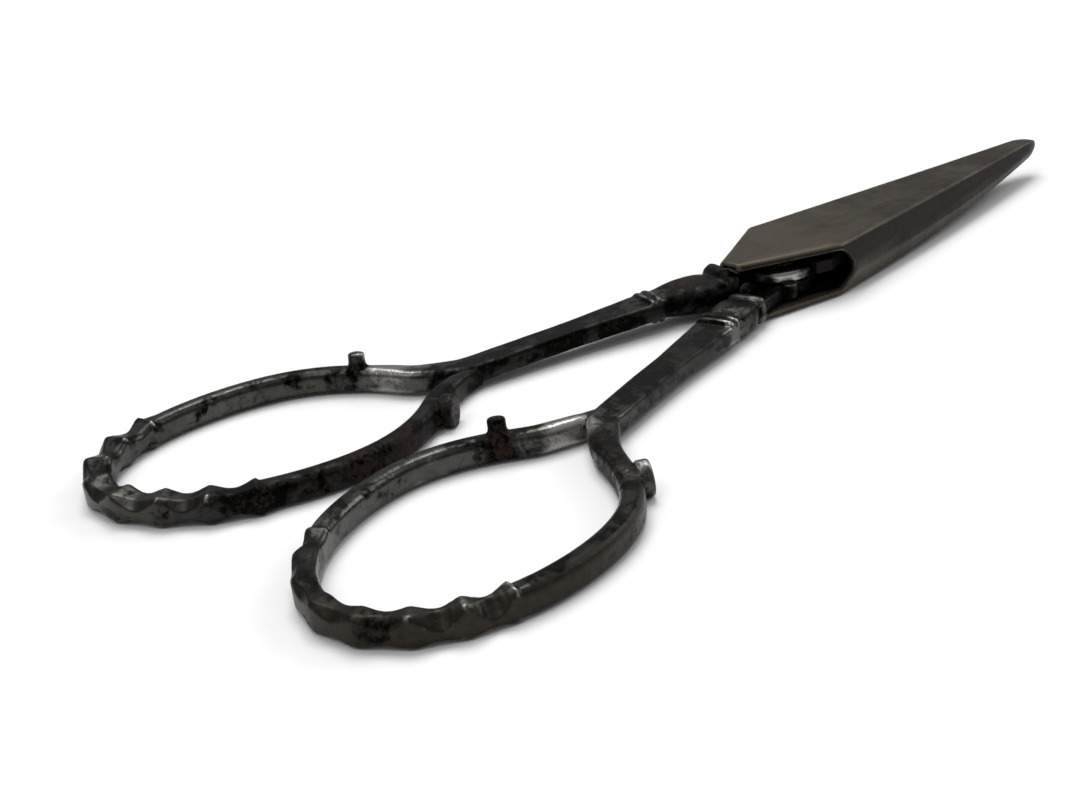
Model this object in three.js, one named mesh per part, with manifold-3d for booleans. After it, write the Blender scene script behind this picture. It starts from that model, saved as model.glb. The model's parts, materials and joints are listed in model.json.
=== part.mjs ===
// Small sewing scissors with twig-like finger bows, closed and held in a sheet-metal sheath.
// Two forged halves cross at a slotted screw, and the sheath slips over both blades.
// Millimetres. The pivot axis is Z, the blades point along +X, +Y is the upper half's handle
// side, and the table is z = 0. The finished group is moved to the middle of its footprint.

import * as THREE from 'three';
import { mergeVertices } from 'three/addons/utils/BufferGeometryUtils.js';
import Module from 'manifold-3d';

const wasm = await Module();
wasm.setup();

// Blades and the round joint plates that lap over each other
const BLADE_REACH = 45.8;
const BLADE_HEEL_WIDTH = 9.3;
const BLADE_POINT_WIDTH = 0.8;
const BLADE_HEEL_AT = 2.7;
const EDGE_SETBACK = 0.8;
const BLADE_BACK_SHARE = 0.3;
const PLATE_THICKNESS = 1.25;
const BLADE_POINT_THICKNESS = 0.22;
const CUTTING_EDGE_THICKNESS = 0.25;
const JOINT_RADIUS = 3.7;
const JOINT_GAP = 0.1;

// Small lug standing out of the edge of the lower half's joint plate
const LUG_RADIUS = 0.75;
const LUG_BEARING = THREE.MathUtils.degToRad(236);

// Pivot screw, through the upper half and screwed into the lower one
const SCREW_RADIUS = 1.2;
const SCREW_HEAD_RADIUS = 2.0;
const SCREW_HEAD_RIM = 0.55;
const SCREW_HEAD_DOME = 0.25;
const SCREW_HEAD_FLAT = 0.8;
const SCREW_HEAD_SUNK = 0.5;
const SCREW_SLOT_WIDTH = 0.5;
const SCREW_SLOT_DEPTH = 0.35;
const SCREW_SLOT_TURN = THREE.MathUtils.degToRad(36);
const SCREW_CLEARANCE = 0.25;

// Handle line: each handle runs straight back, beside the pivot and angled outwards, and its bow
// is set a little inwards of that line
const HANDLE_ANGLE = THREE.MathUtils.degToRad(13.1);
const HANDLE_OFFSET = 1.5;
const BOW_REACH = 52.5;
const BOW_INSET = 0.15;

// Turned collar between the joint and the shank, as full widths, heights and lengths
const NECK_WIDTH = 3.0;
const RING_AT = 8.65;
const RING_LENGTH = 0.9;
const RING_WIDTH = 3.9;
const RING_HEIGHT = 2.9;
const GROOVE_LENGTH = 0.5;
const GROOVE_WIDTH = 3.3;
const GROOVE_HEIGHT = 2.4;
const CAP_LENGTH = 2.8;
const CAP_WIDTH = 4.3;
const CAP_HEIGHT = 3.0;
const CAP_FLARE = 0.8;
const WAIST_LENGTH = 1.2;
const WAIST_WIDTH = 3.5;
const WAIST_HEIGHT = 2.3;
const RIDGE_LENGTH = 0.8;
const RIDGE_WIDTH = 4.2;
const RIDGE_HEIGHT = 2.6;
const COLLAR_LEVEL = 1.85;
const COLLAR_LIFT = 0.3;
const COLLAR_BEVEL = 0.6;
const RING_CHAMFER = 0.2;

// Flat shank with bevelled edges, flaring at both ends
const SHANK_WIDTH = 3.0;
const SHANK_HEIGHT = 1.7;
const SHANK_COLLAR_WIDTH = 4.0;
const SHANK_TAPER = 8;
const SHANK_BEVEL = 0.4;
const FORK_FLARE = 4.5;
const FORK_AT = 0.035;

// Finger bow: a bar of eight-sided section round an oval that is drawn to a point at the shank,
// less so on its -Y side, and scalloped round its back. Places are shares of the way round it.
const BOW_LENGTH = 31.2;
const BOW_WIDTH = 21.6;
const POINTING_PLUS = 1.0;
const POINTING_MINUS = 1.2;
const BOW_TIP_GAP = 0.012;
const BAR_WIDTH = 1.95;
const BAR_HEIGHT = 2.2;
const BAR_BEVEL = 0.5;
const SCALLOP_START = 0.354;
const SCALLOP_END = 0.675;
const HOLLOW_COUNT = 7;
const CREST_STAND = 0.2;
const CREST_HEIGHT = 2.7;
const HOLLOW_HEIGHT = 1.8;
const CREST_BEVEL = 0.4;
const HOLLOW_BEVEL = 0.75;
const CREST_STEP = 0.004;

// Lopped-branch stubs on each bow: a peg on its +Y side and a knob on its -Y side
const PEG_AT = 0.097;
const PEG_RADIUS = 0.75;
const PEG_LENGTH = 2.5;
const PEG_RISE = THREE.MathUtils.degToRad(82);
const PEG_ROUND = 0.25;
const KNOB_AT = 0.89;
const KNOB_NECK_RADIUS = 0.95;
const KNOB_HEAD_RADIUS = 1.4;
const KNOB_HEAD_LENGTH = 1.1;
const KNOB_STAND = 2.5;
const KNOB_ROUND = 0.28;
const KNOB_RISE = THREE.MathUtils.degToRad(3);

// Sheath, folded from sheet: it clears the blades all round and narrows again at its mouth
const SHEATH_WALL = 0.6;
const SHEATH_SIDE_ROOM = 0.5;
const SHEATH_POINT_ROOM = 0.25;
const SHEATH_TIP_ROOM = 0.5;
const SHEATH_SEAT_ROOM = 0.45;
const SHEATH_HEAD_ROOM = 0.85;
const SHEATH_TIP_HEIGHT = 1.9;
const SHEATH_TIP_RISE = 0.35;
const SHEATH_SIDE_BULGE = 0.5;
const SHEATH_SIDE_BAND = 0.2;
const SHEATH_NOSE_LENGTH = 2.0;
const SHEATH_NOSE_END = 0.35;
const MOUTH_ROOM = 0.6;
const MOUTH_WIDTH = 2.2;
const MOUTH_LIP = 0.2;
const WINDOW_DEPTH = 4.3;
const CUT_OVERRUN = 1;

// Levels that follow from the sizes above
const HEAD_STAND = SCREW_HEAD_RIM + SCREW_HEAD_DOME - SCREW_HEAD_SUNK;
const LAP_THICKNESS = PLATE_THICKNESS * 2 + JOINT_GAP;
const SHEATH_ROOM = SHEATH_SEAT_ROOM + LAP_THICKNESS + HEAD_STAND + SHEATH_HEAD_ROOM;
const SHEATH_MIDDLE = SHEATH_ROOM / 2 + SHEATH_WALL;
const MEETING_LEVEL = SHEATH_WALL + SHEATH_SEAT_ROOM + LAP_THICKNESS / 2;
const BOW_LEVEL = CREST_HEIGHT / 2;
const PLATE_OFFSET = (JOINT_GAP + PLATE_THICKNESS) / 2;
const NECK_END = RING_AT - GROOVE_LENGTH;
const NECK_END_X = NECK_END * Math.cos(HANDLE_ANGLE) - HANDLE_OFFSET * Math.sin(HANDLE_ANGLE);
const MOUTH_REACH = NECK_END_X - MOUTH_ROOM;
const SHEATH_TIP = BLADE_REACH + SHEATH_TIP_ROOM + SHEATH_WALL;

// Numbers of flat faces on round forms
const JOINT_FACETS = 48;
const STUB_FACETS = 16;
const SCREW_FACETS = 32;
const PLAIN_BAR_STEPS = 22;
const HOLLOW_STEPS = 6;
const FLARE_STEPS = 4;
const NOSE_STEPS = 4;
const WINDOW_FACETS = 24;

// A closed three.js geometry as a solid that can be joined and cut.
function toSolid(geometry) {
  const bare = geometry.index ? geometry.toNonIndexed() : geometry.clone();
  bare.deleteAttribute('normal');
  bare.deleteAttribute('uv');
  const merged = mergeVertices(bare, 1e-5);
  return new wasm.Manifold(new wasm.Mesh({
    numProp: 3,
    vertProperties: new Float32Array(merged.attributes.position.array),
    triVerts: new Uint32Array(merged.index.array),
  }));
}

function toGeometry(solid) {
  const mesh = solid.getMesh();
  const geometry = new THREE.BufferGeometry();
  geometry.setAttribute('position', new THREE.BufferAttribute(new Float32Array(mesh.vertProperties), 3));
  geometry.setIndex(new THREE.BufferAttribute(new Uint32Array(mesh.triVerts), 1));
  geometry.computeVertexNormals();
  return geometry;
}

function joined(geometries) {
  return geometries.map(toSolid).reduce((whole, solid) => whole.add(solid));
}

// Six times the volume inside a triangle mesh, negative when its faces point inwards.
function signedVolume(points, triangles) {
  let sum = 0;
  for (const [a, b, c] of triangles) {
    sum += points[a].dot(points[b].clone().cross(points[c]));
  }
  return sum;
}

// Skin over a row of rings with equal point counts. An open row is closed by flat ends.
function loft(rings, { loop = false } = {}) {
  const size = rings[0].length;
  const points = rings.flat();
  const triangles = [];
  const spans = loop ? rings.length : rings.length - 1;
  for (let i = 0; i < spans; i++) {
    const here = i * size;
    const next = ((i + 1) % rings.length) * size;
    for (let j = 0; j < size; j++) {
      const k = (j + 1) % size;
      triangles.push([here + j, here + k, next + k], [here + j, next + k, next + j]);
    }
  }
  if (!loop) {
    const last = (rings.length - 1) * size;
    for (let j = 1; j < size - 1; j++) {
      triangles.push([0, j + 1, j], [last, last + j, last + j + 1]);
    }
  }
  const outward = signedVolume(points, triangles) > 0;
  const faces = outward ? triangles : triangles.map(([a, b, c]) => [a, c, b]);
  const geometry = new THREE.BufferGeometry();
  geometry.setFromPoints(points);
  geometry.setIndex(faces.flat());
  return geometry;
}

// Eight-sided bar section: reaches out, in, up and down from its middle, with bevelled corners.
function barSection(out, inward, half, bevel) {
  return [
    [out, half - bevel], [out - bevel, half], [bevel - inward, half], [-inward, half - bevel],
    [-inward, bevel - half], [bevel - inward, -half], [out - bevel, -half], [out, bevel - half],
  ];
}

// Handle frame: u runs from the pivot's side back to the bow, v is towards +Y, z is up.
function handleMatrix(side) {
  const turn = new THREE.Matrix4().makeRotationZ(-side * HANDLE_ANGLE);
  return turn.multiply(new THREE.Matrix4().makeTranslation(0, side * HANDLE_OFFSET, 0));
}

// Collar and shank as one bar along the handle line, with each feature's place, size and level.
function stem(side) {
  const plateLevel = MEETING_LEVEL + side * PLATE_OFFSET;
  const collarLevel = COLLAR_LEVEL + side * COLLAR_LIFT;
  const capStart = RING_AT + RING_LENGTH + GROOVE_LENGTH;
  const waistStart = capStart + CAP_LENGTH;
  const ridgeStart = waistStart + WAIST_LENGTH;
  const shankStart = ridgeStart + RIDGE_LENGTH;
  const bowFront = BOW_REACH - BOW_LENGTH / 2;
  const levelAt = (u) => {
    if (u <= NECK_END) return plateLevel;
    if (u <= capStart) return THREE.MathUtils.mapLinear(u, NECK_END, capStart, plateLevel, collarLevel);
    if (u <= shankStart) return collarLevel;
    return THREE.MathUtils.mapLinear(Math.min(u, bowFront), shankStart, bowFront, collarLevel, BOW_LEVEL);
  };
  const rows = [];
  const add = (u, width, height, bevel, inset = 0) => rows.push({ u, width, height, bevel, inset });

  add(JOINT_RADIUS / 2, NECK_WIDTH, PLATE_THICKNESS, COLLAR_BEVEL / 2);
  add(NECK_END, NECK_WIDTH, PLATE_THICKNESS, COLLAR_BEVEL / 2);
  add(RING_AT + RING_CHAMFER, RING_WIDTH, RING_HEIGHT, COLLAR_BEVEL);
  add(RING_AT + RING_LENGTH - RING_CHAMFER, RING_WIDTH, RING_HEIGHT, COLLAR_BEVEL);
  add(capStart - GROOVE_LENGTH / 2, GROOVE_WIDTH, GROOVE_HEIGHT, COLLAR_BEVEL);
  add(capStart + CAP_FLARE / 2, (CAP_WIDTH + GROOVE_WIDTH) / 2, (CAP_HEIGHT + GROOVE_HEIGHT) / 2,
    COLLAR_BEVEL);
  add(capStart + CAP_FLARE, CAP_WIDTH, CAP_HEIGHT, COLLAR_BEVEL);
  add(waistStart - CAP_FLARE, CAP_WIDTH, CAP_HEIGHT, COLLAR_BEVEL);
  add(waistStart, (CAP_WIDTH + WAIST_WIDTH) / 2, (CAP_HEIGHT + WAIST_HEIGHT) / 2, COLLAR_BEVEL);
  add(waistStart + WAIST_LENGTH / 2, WAIST_WIDTH, WAIST_HEIGHT, COLLAR_BEVEL);
  add(ridgeStart, WAIST_WIDTH, WAIST_HEIGHT, COLLAR_BEVEL);
  add(ridgeStart + RIDGE_LENGTH / 2, RIDGE_WIDTH, RIDGE_HEIGHT, COLLAR_BEVEL);
  add(shankStart, SHANK_COLLAR_WIDTH, SHANK_HEIGHT, SHANK_BEVEL);
  add(shankStart + SHANK_TAPER / 2, (SHANK_COLLAR_WIDTH + SHANK_WIDTH) / 2, SHANK_HEIGHT, SHANK_BEVEL);
  add(shankStart + SHANK_TAPER, SHANK_WIDTH, SHANK_HEIGHT, SHANK_BEVEL);

  const { middle, outward } = onBow(FORK_AT);
  const fork = middle.clone().addScaledVector(outward, BAR_WIDTH / 2);
  const flareStart = bowFront - FORK_FLARE;
  for (let i = 0; i <= FLARE_STEPS; i++) {
    const along = i / FLARE_STEPS;
    const width = THREE.MathUtils.lerp(SHANK_WIDTH, fork.y * 2, along * along);
    const at = THREE.MathUtils.lerp(flareStart, -fork.x, along);
    add(at, width, SHANK_HEIGHT, SHANK_BEVEL, BOW_INSET * along);
  }

  return loft(rows.map(({ u, width, height, bevel, inset }) => {
    const section = barSection(width / 2, width / 2, height / 2, bevel);
    return section.map(([across, up]) => new THREE.Vector3(-u, across - side * inset, levelAt(u) + up));
  }));
}

// Middle line of the bow: half an ellipse at the back, drawn to a point where the shank joins.
class BowCurve extends THREE.Curve {
  getPoint(t, target = new THREE.Vector2()) {
    const turn = 2 * Math.PI * t;
    const across = Math.sin(turn);
    const pointing = across > 0 ? POINTING_PLUS : POINTING_MINUS;
    const power = 1 + pointing * Math.max(0, Math.cos(turn));
    const y = (Math.sign(across) * Math.abs(across) ** power * BOW_WIDTH) / 2;
    return target.set((Math.cos(turn) * BOW_LENGTH) / 2 - BOW_REACH, y);
  }
}
const bowCurve = new BowCurve();

// Middle of the bar and its outward direction at a place round the bow, from its point by +Y.
function onBow(at) {
  const place = THREE.MathUtils.euclideanModulo(at, 1);
  const along = bowCurve.getTangentAt(place);
  return { middle: bowCurve.getPointAt(place), outward: new THREE.Vector2(along.y, -along.x) };
}

// Bar section at a place round the bow. Hollows are scooped from the row between sharp crests.
function bowSection(place) {
  const plain = BAR_WIDTH / 2;
  const inRow = place >= SCALLOP_START && place <= SCALLOP_END;
  if (!inRow) return barSection(plain, plain, BAR_HEIGHT / 2, BAR_BEVEL);
  const turn = ((place - SCALLOP_START) / (SCALLOP_END - SCALLOP_START)) * HOLLOW_COUNT;
  const fraction = turn - Math.floor(turn);
  const crest = (2 * fraction - 1) ** 2;
  const height = THREE.MathUtils.lerp(HOLLOW_HEIGHT, CREST_HEIGHT, crest);
  const bevel = THREE.MathUtils.lerp(HOLLOW_BEVEL, CREST_BEVEL, crest);
  return barSection(plain + CREST_STAND * crest, plain, height / 2, bevel);
}

function evenPlaces(from, to, steps) {
  return Array.from({ length: steps + 1 }, (_, i) => THREE.MathUtils.lerp(from, to, i / steps));
}

// Bow bar. Its places are counted from the point along the outer rail, so scallops mirror.
function bow(side) {
  const places = [
    ...evenPlaces(BOW_TIP_GAP, SCALLOP_START - CREST_STEP, PLAIN_BAR_STEPS),
    ...evenPlaces(SCALLOP_START, SCALLOP_END, HOLLOW_COUNT * HOLLOW_STEPS),
    ...evenPlaces(SCALLOP_END + CREST_STEP, 1 - BOW_TIP_GAP, PLAIN_BAR_STEPS),
  ];
  const rings = places.map((place) => {
    const { middle, outward } = onBow(side > 0 ? place : 1 - place);
    return bowSection(place).map(([across, up]) => new THREE.Vector3(
      middle.x + outward.x * across, middle.y + outward.y * across, BOW_LEVEL + up));
  });
  return loft(rings, { loop: true });
}

// A turned stub that starts in the middle of the bow's bar and points outwards and up.
function stub(profile, at, rise) {
  const { middle, outward } = onBow(at);
  const direction = new THREE.Vector3(outward.x * Math.cos(rise), outward.y * Math.cos(rise), Math.sin(rise));
  const geometry = new THREE.LatheGeometry(profile.map(([r, h]) => new THREE.Vector2(r, h)), STUB_FACETS);
  geometry.applyQuaternion(new THREE.Quaternion().setFromUnitVectors(new THREE.Vector3(0, 1, 0), direction));
  return geometry.translate(middle.x, middle.y, BOW_LEVEL);
}

function peg() {
  return stub([
    [0, 0], [PEG_RADIUS, 0], [PEG_RADIUS, PEG_LENGTH - PEG_ROUND],
    [PEG_RADIUS - PEG_ROUND, PEG_LENGTH], [0, PEG_LENGTH],
  ], PEG_AT, PEG_RISE);
}

function knob() {
  const headStart = KNOB_STAND - KNOB_HEAD_LENGTH;
  return stub([
    [0, 0], [KNOB_NECK_RADIUS, 0], [KNOB_NECK_RADIUS, headStart - KNOB_ROUND],
    [KNOB_HEAD_RADIUS - KNOB_ROUND, headStart], [KNOB_HEAD_RADIUS, headStart + KNOB_ROUND],
    [KNOB_HEAD_RADIUS, KNOB_STAND - KNOB_ROUND], [KNOB_HEAD_RADIUS - KNOB_ROUND, KNOB_STAND], [0, KNOB_STAND],
  ], KNOB_AT, KNOB_RISE);
}

// Half the width that the closed blades take up, tapering from the heel to the points.
function bladeHalfWidth(x) {
  return THREE.MathUtils.mapLinear(x, BLADE_HEEL_AT, BLADE_REACH, BLADE_HEEL_WIDTH, BLADE_POINT_WIDTH) / 2;
}

// Level at which the blades meet: low in the sheath at the joint, in its middle at the points.
function bladeLevel(x) {
  return THREE.MathUtils.mapLinear(x, 0, BLADE_REACH, MEETING_LEVEL, sheathMiddle(BLADE_REACH));
}

// Blade: flat on the side that meets the other half, thick along its back, thin at its edge.
function blade(side) {
  const ring = (x, half, setback, thickness) => {
    const inner = bladeLevel(x) + (side * JOINT_GAP) / 2;
    return [
      [-side * half, 0], [-side * half, thickness], [-side * half * BLADE_BACK_SHARE, thickness],
      [side * (half - setback), Math.min(CUTTING_EDGE_THICKNESS, thickness)], [side * (half - setback), 0],
    ].map(([y, up]) => new THREE.Vector3(x, y, inner + side * up));
  };
  const point = bladeHalfWidth(BLADE_REACH);
  return loft([
    ring(0, JOINT_RADIUS, EDGE_SETBACK, PLATE_THICKNESS),
    ring(BLADE_HEEL_AT, bladeHalfWidth(BLADE_HEEL_AT), EDGE_SETBACK, PLATE_THICKNESS),
    ring(BLADE_REACH, point, point, BLADE_POINT_THICKNESS),
  ]);
}

function disc(radius, height, level, facets) {
  const geometry = new THREE.CylinderGeometry(radius, radius, height, facets);
  return geometry.rotateX(Math.PI / 2).translate(0, 0, level);
}

function half(side) {
  const plateLevel = MEETING_LEVEL + side * PLATE_OFFSET;
  const place = handleMatrix(side);
  const loop = [bow(side), peg(), knob()].map((geometry) => geometry.translate(0, -side * BOW_INSET, 0));
  const handle = [stem(side), ...loop].map((geometry) => geometry.applyMatrix4(place));
  const plate = disc(JOINT_RADIUS, PLATE_THICKNESS, plateLevel, JOINT_FACETS);
  return joined([plate, blade(side), ...handle]);
}

function screwHole(level, radius, height) {
  return toSolid(disc(radius + SCREW_CLEARANCE, height, level, SCREW_FACETS));
}

function upperHalf() {
  const plateTop = MEETING_LEVEL + JOINT_GAP / 2 + PLATE_THICKNESS;
  const seat = plateTop - SCREW_HEAD_SUNK - SCREW_CLEARANCE;
  const sink = screwHole(seat + PLATE_THICKNESS / 2, SCREW_HEAD_RADIUS, PLATE_THICKNESS);
  const bore = screwHole(MEETING_LEVEL + PLATE_OFFSET, SCREW_RADIUS, PLATE_THICKNESS * 2);
  return half(1).subtract(bore).subtract(sink);
}

function lowerHalf() {
  const plateLevel = MEETING_LEVEL - PLATE_OFFSET;
  const bore = screwHole(plateLevel, SCREW_RADIUS, PLATE_THICKNESS * 2);
  const lug = disc(LUG_RADIUS, PLATE_THICKNESS, plateLevel, STUB_FACETS);
  const reach = JOINT_RADIUS + LUG_RADIUS / 2;
  lug.translate(reach * Math.cos(LUG_BEARING), reach * Math.sin(LUG_BEARING), 0);
  return half(-1).add(toSolid(lug)).subtract(bore);
}

function pivotScrew() {
  const plateTop = MEETING_LEVEL + JOINT_GAP / 2 + PLATE_THICKNESS;
  const plateBottom = MEETING_LEVEL - JOINT_GAP / 2 - PLATE_THICKNESS;
  const underHead = plateTop - SCREW_HEAD_SUNK;
  const rim = underHead + SCREW_HEAD_RIM;
  const top = rim + SCREW_HEAD_DOME;
  const profile = [
    [0, plateBottom], [SCREW_RADIUS, plateBottom], [SCREW_RADIUS, underHead],
    [SCREW_HEAD_RADIUS, underHead], [SCREW_HEAD_RADIUS, rim],
    [(SCREW_HEAD_RADIUS + SCREW_HEAD_FLAT) / 2, (rim + top) / 2], [SCREW_HEAD_FLAT, top], [0, top],
  ].map(([r, z]) => new THREE.Vector2(r, z));
  const body = new THREE.LatheGeometry(profile, SCREW_FACETS).rotateX(Math.PI / 2);
  const slotLength = (SCREW_HEAD_RADIUS + CUT_OVERRUN) * 2;
  const slot = new THREE.BoxGeometry(slotLength, SCREW_SLOT_WIDTH, SCREW_SLOT_DEPTH * 2);
  slot.rotateZ(SCREW_SLOT_TURN).translate(0, 0, top);
  return toSolid(body).subtract(toSolid(slot));
}

// Sheath section at a place along it. The inset is the wall for the inside skin, else 0.
function sheathRing(x, inset, shrink = 1) {
  const halfHeight = sheathHalfHeight(x) * shrink;
  const flat = sheathHalfWidth(x) * shrink - inset;
  const side = flat + (SHEATH_SIDE_BULGE * halfHeight) / SHEATH_MIDDLE;
  const tall = halfHeight - inset;
  const band = tall * SHEATH_SIDE_BAND;
  return [
    [flat, tall], [side, band], [side, -band], [flat, -tall],
    [-flat, -tall], [-side, -band], [-side, band], [-flat, tall],
  ].map(([y, up]) => new THREE.Vector3(x, y, sheathMiddle(x) + up));
}

// Share of the way from the sheath's shoulder to its tip, 0 all through the mouth.
function towardsTip(x) {
  return THREE.MathUtils.clamp((x - BLADE_HEEL_AT) / (SHEATH_TIP - BLADE_HEEL_AT), 0, 1);
}

function sheathMiddle(x) {
  return SHEATH_MIDDLE + SHEATH_TIP_RISE * towardsTip(x);
}

function sheathHalfWidth(x) {
  if (x < BLADE_HEEL_AT) {
    const heel = sheathHalfWidth(BLADE_HEEL_AT);
    const at = Math.max(x, -MOUTH_REACH);
    return THREE.MathUtils.mapLinear(at, -MOUTH_REACH, BLADE_HEEL_AT, MOUTH_WIDTH / 2, heel);
  }
  const along = (x - BLADE_HEEL_AT) / (BLADE_REACH - BLADE_HEEL_AT);
  const room = THREE.MathUtils.lerp(SHEATH_SIDE_ROOM, SHEATH_POINT_ROOM, along);
  return bladeHalfWidth(x) + room + SHEATH_WALL;
}

function sheathHalfHeight(x) {
  return THREE.MathUtils.lerp(SHEATH_MIDDLE, SHEATH_TIP_HEIGHT / 2, towardsTip(x));
}

// Opening cut through both side walls at the mouth, with a round end. It leaves the top and the
// bottom of the sheath as two pointed tongues.
function mouthWindow() {
  const before = -MOUTH_REACH - CUT_OVERRUN;
  const lip = SHEATH_WALL + MOUTH_LIP;
  const radius = SHEATH_MIDDLE - lip;
  const roundAt = WINDOW_DEPTH - radius;
  const window = new THREE.Shape();
  window.moveTo(before, lip);
  window.lineTo(roundAt, lip);
  window.absarc(roundAt, SHEATH_MIDDLE, radius, -Math.PI / 2, Math.PI / 2, false);
  window.lineTo(before, SHEATH_MIDDLE * 2 - lip);
  const depth = (sheathHalfWidth(BLADE_HEEL_AT) + SHEATH_SIDE_BULGE + CUT_OVERRUN) * 2;
  const cut = new THREE.ExtrudeGeometry(window, { depth, bevelEnabled: false, curveSegments: WINDOW_FACETS });
  return cut.rotateX(Math.PI / 2).translate(0, depth / 2, 0);
}

function sheath() {
  const nose = evenPlaces(0, 1, NOSE_STEPS).map((along) => {
    const shrink = Math.sqrt(1 - (1 - SHEATH_NOSE_END ** 2) * along ** 2);
    return sheathRing(SHEATH_TIP - SHEATH_NOSE_LENGTH * (1 - along), 0, shrink);
  });
  const skin = loft([sheathRing(-MOUTH_REACH, 0), sheathRing(BLADE_HEEL_AT, 0), ...nose]);
  const inside = [-MOUTH_REACH - CUT_OVERRUN, BLADE_HEEL_AT, SHEATH_TIP - SHEATH_WALL];
  const hollow = loft(inside.map((x) => sheathRing(x, SHEATH_WALL)));
  return toSolid(skin).subtract(toSolid(hollow)).subtract(toSolid(mouthWindow()));
}

function piece(name, solid, color, roughness, metalness) {
  const material = new THREE.MeshStandardMaterial({ color, roughness, metalness });
  const mesh = new THREE.Mesh(toGeometry(solid), material);
  mesh.name = name;
  return mesh;
}

const scissors = new THREE.Group();
scissors.add(
  piece('lower_half', lowerHalf(), 0x474543, 0.42, 0.9),
  piece('upper_half', upperHalf(), 0x4b4947, 0.42, 0.9),
  piece('pivot_screw', pivotScrew(), 0x5a5752, 0.4, 0.9),
  piece('sheath', sheath(), 0x6d655a, 0.5, 0.8),
);

// The origin is the middle of the footprint, on the table.
const footprint = new THREE.Box3().setFromObject(scissors).getCenter(new THREE.Vector3());
scissors.position.set(-footprint.x, -footprint.y, 0);

export default scissors;
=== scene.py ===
"""Antique sewing scissors in their sheath.

Two forged steel halves, a slotted pivot screw and a folded sheath. Shapes are made in millimetres
about the pivot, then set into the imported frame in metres.
"""
import json
import math

import bmesh
import bpy
import numpy as np
from mathutils import Matrix, Vector


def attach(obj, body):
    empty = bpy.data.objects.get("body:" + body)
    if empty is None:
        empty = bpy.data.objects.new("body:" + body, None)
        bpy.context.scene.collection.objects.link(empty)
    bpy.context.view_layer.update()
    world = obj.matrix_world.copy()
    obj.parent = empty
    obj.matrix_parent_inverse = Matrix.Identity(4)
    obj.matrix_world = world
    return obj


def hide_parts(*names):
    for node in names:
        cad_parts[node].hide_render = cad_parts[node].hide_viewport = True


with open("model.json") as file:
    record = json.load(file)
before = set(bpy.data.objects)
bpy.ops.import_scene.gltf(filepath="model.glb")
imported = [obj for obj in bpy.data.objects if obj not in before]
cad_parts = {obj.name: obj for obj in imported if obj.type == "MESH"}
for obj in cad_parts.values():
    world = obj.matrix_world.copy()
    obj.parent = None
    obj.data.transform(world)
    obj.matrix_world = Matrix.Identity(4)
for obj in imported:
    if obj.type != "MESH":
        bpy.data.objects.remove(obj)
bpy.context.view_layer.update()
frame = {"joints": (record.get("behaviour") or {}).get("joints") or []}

MM = 0.001
PER_METRE = 1000
PIVOT = np.array(frame["joints"][0]["pos_m"], float) * [1, 1, 0]

# Blades
BLADE_REACH = 45.8
BLADE_HEEL_WIDTH = 9.3
BLADE_POINT_WIDTH = 0.5
BLADE_HEEL_AT = 2.7
BLADE_ROOT_AT = 1.2
BLADE_ROOT_STAND = 0.25
BLADE_SINK = 0.02
BLADE_STATIONS = 24
EDGE_SETBACK = 0.8
BLADE_BACK_SHARE = 0.3
BACK_CHAMFER = 0.12
GRIND_WIDTH = 0.9
GRIND_HEIGHT = 0.22
BLADE_POINT_THICKNESS = 0.15
CUTTING_EDGE_THICKNESS = 0.12
# blade darkening towards the heel: rust, and painted shade where the sheath's mouth shows it
BLADE_STAIN_AND_SHADE_END = 14
BLADE_STAIN_AND_SHADE_FADE = 8

# Joint plates, lug and screw; the round of a plate's edge is (inwards, down) as shares of its size
PLATE_THICKNESS = 1.25
PLATE_EDGE = {1: 0.5, -1: 0.1}
PLATE_ROUND = [(0, 1), (0.3, 0.4), (1, 0.08), (1.6, 0)]
JOINT_RADIUS = 3.7
JOINT_GAP = 0.1
LUG_RADIUS = 0.75
LUG_RISE = 0.2
LUG_BEARING = math.radians(236)
SCREW_RADIUS = 1.2
SCREW_HEAD_RADIUS = 2.0
SCREW_HEAD_SUNK = 0.5
SCREW_HEAD_RIM = 0.5
SCREW_HEAD_HEIGHT = 0.8
SCREW_CHAMFER = 0.08
SCREW_CLEARANCE = 0.25
SLOT_WIDTH = 0.5
SLOT_DEPTH = 0.35
SLOT_REACH = 3
SLOT_TURN = math.radians(36)
SCREW_SHARP_ANGLE = math.radians(35)

# Levels
MEETING_LEVEL = 2.35
SHEATH_MIDDLE = 2.7
BOW_LEVEL = 1.35
SHEATH_TIP_RISE = 0.8
FORK_RISE = 0.1

# Handles
HANDLE_ANGLE = math.radians(13.1)
HANDLE_OFFSET = 1.5
BOW_REACH = 52.5
BOW_INSET = 0.15
BOW_LENGTH = 31.2
BOW_WIDTH = 21.6
BOW_FRONT = BOW_REACH - BOW_LENGTH / 2
BAR_WIDTH = 1.95
BAR_HEIGHT = 2.2
BAR_BEVEL = 0.66
LOWER_BEVEL_SHARE = 0.5
SHANK_START = 14.8
SHANK_OVERLAP = 1.0
SHANK_WIDTH = 3.0
SHANK_COLLAR_WIDTH = 4.0
SHANK_HEIGHT = 1.7

# Along the loop of shank and bow, as (distance past the bow's front, value)
LOOP_START = -22
LOOP_LEVEL_AT = 8
BOW_FROM = 4
LOOP_HALF_WIDTHS = [(LOOP_START, SHANK_COLLAR_WIDTH / 2), (-14, SHANK_WIDTH / 2), (-3, SHANK_WIDTH / 2),
                    (2.0, 1.25), (6, BAR_WIDTH / 2)]
LOOP_HALF_HEIGHTS = [(LOOP_START, SHANK_HEIGHT / 2), (-2, SHANK_HEIGHT / 2), (4, BAR_HEIGHT / 2)]
LOOP_BEVELS = [(LOOP_START, 0.3), (-4, 0.34), (4, BAR_BEVEL)]

# The loop's end, as (distance before its end, share), or how far it sinks
END_WIDTHS = [(0, 0.4), (3.5, 0.9), (6, 1)]
END_HEIGHTS = [(0, 0.75), (3, 1)]
END_BEVELS = [(0, 0.4), (4, 1)]
END_SINK = [(0, 0.1), (5, 0)]

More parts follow.
